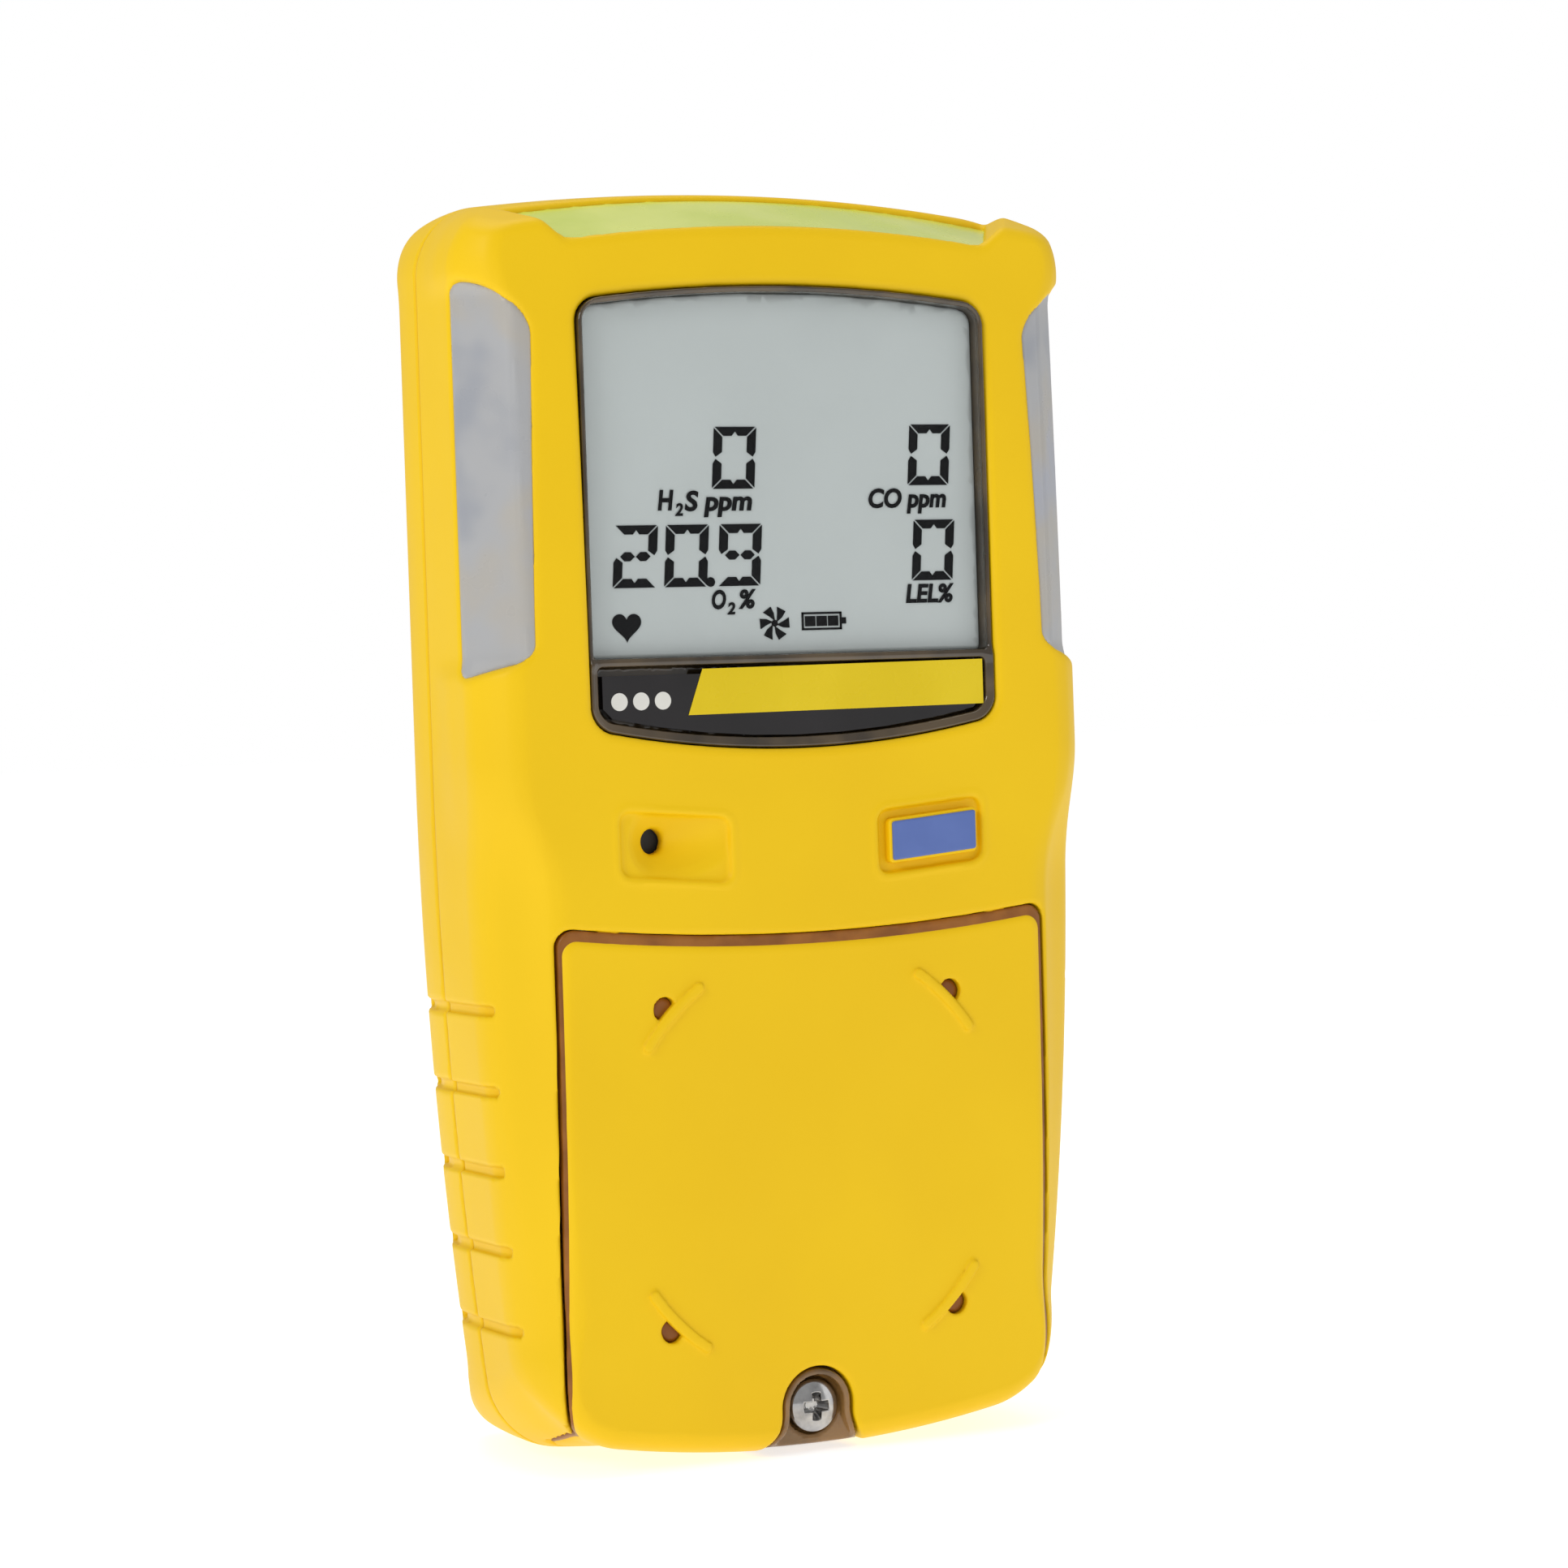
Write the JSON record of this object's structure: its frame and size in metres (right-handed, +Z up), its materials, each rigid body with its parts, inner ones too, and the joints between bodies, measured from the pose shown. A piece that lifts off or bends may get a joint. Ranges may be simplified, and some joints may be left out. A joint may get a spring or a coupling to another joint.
{
  "type": "portable gas detector",
  "caption": "Hand-held gas detector with a display, one key, alarm light windows, a rubber-covered case, a screwed sensor cover, a sampling inlet and a spring clip on its back.",
  "frame": {"origin": "on the surface that the detector stands on, under the middle of its bounding box", "axes": "+Z up along the height, -Y the way the display faces, +X to the right of a person who reads the display"},
  "size_m": [0.07, 0.0524, 0.131],
  "materials": {
    "yellow_rubber": "satin moulded elastomer",
    "smoke_polycarbonate": "smoky translucent, polished",
    "clear_window": "frosted translucent",
    "lens": "polished",
    "lcd": "satin",
    "label": "glossy printed",
    "button_blue": "satin",
    "black_plastic": "fine texture",
    "white_plastic": "satin",
    "circuit_board": "solder mask",
    "battery_wrap": "shrink wrap",
    "silicone": "satin",
    "steel": "polished nickel plate",
    "brass": "machined"
  },
  "bodies": {
    "case": {"front_overmould": "yellow_rubber", "rear_overmould": "yellow_rubber", "front_shell": "smoke_polycarbonate", "rear_shell": "smoke_polycarbonate", "case_seal": "silicone", "alarm_window_top": "clear_window", "alarm_window_left": "clear_window", "alarm_window_right": "clear_window", "display_frame": "smoke_polycarbonate", "display_lens": "lens", "lcd_glass": "lcd", "lcd_backlight": "white_plastic", "name_plate": "label", "display_board": "circuit_board", "main_board": "circuit_board", "sensor_board": "circuit_board", "battery_pack": "battery_wrap", "button_switch": "black_plastic", "buzzer": "black_plastic", "pump_head": "black_plastic", "pump_motor": "steel", "pump_tube": "silicone", "vibration_motor": "steel", "sensor_tray": "black_plastic", "sensor_hydrogen_sulphide": "white_plastic", "sensor_carbon_monoxide": "white_plastic", "sensor_oxygen": "white_plastic", "sensor_combustible": "white_plastic", "cover_gasket": "black_plastic", "charge_port": "black_plastic", "inlet_housing": "black_plastic", "inlet_filter": "white_plastic", "inlet_cap": "black_plastic", "inlet_nozzle": "steel", "inlet_screw_left": "steel", "inlet_screw_right": "steel", "case_screw_top_left": "steel", "case_screw_top_right": "steel", "case_screw_bottom_left": "steel", "case_screw_bottom_right": "steel", "clip_base": "steel", "clip_pin": "steel", "clip_screw": "steel", "clip_spring": "steel"},
    "key": {"button_key": "yellow_rubber", "button_pad": "button_blue"},
    "cover": {"front_cover": "yellow_rubber", "cover_frame": "smoke_polycarbonate"},
    "screw": {"cover_screw": "steel"},
    "lever": {"clip_lever": "steel"},
    "eccentric": {"pump_eccentric": "brass"},
    "shaker": {"vibration_weight": "brass"}
  },
  "joints": [
    {"name": "key_press", "type": "slide", "parent": "case", "child": "key", "axis": [0, 1, 0], "range_m": [0, 0.0005], "stiffness_N_per_m": 2000, "springref_m": -0.0005},
    {"name": "cover_lift", "type": "slide", "parent": "case", "child": "cover", "axis": [0, -1, 0], "range_m": [0, 0.03]},
    {"name": "cover_screw_turn", "type": "hinge", "parent": "cover", "child": "screw", "pos_m": [0, -0.02193, 0.0049], "axis": [0, 1, 0], "continuous": true},
    {"name": "clip_open", "type": "hinge", "parent": "case", "child": "lever", "pos_m": [0, 0.01707, 0.088], "axis": [1, 0, 0], "range_deg": [0, 30], "stiffness_Nm_per_rad": 0.5, "springref_deg": -20.05, "deforming": ["clip_spring"]},
    {"name": "pump_spin", "type": "hinge", "parent": "case", "child": "eccentric", "pos_m": [-0.0149, -0.00993, 0.07], "axis": [1, 0, 0], "continuous": true},
    {"name": "vibration_spin", "type": "hinge", "parent": "case", "child": "shaker", "pos_m": [0.0262, -0.01093, 0.0998], "axis": [0, 0, 1], "continuous": true}
  ]
}
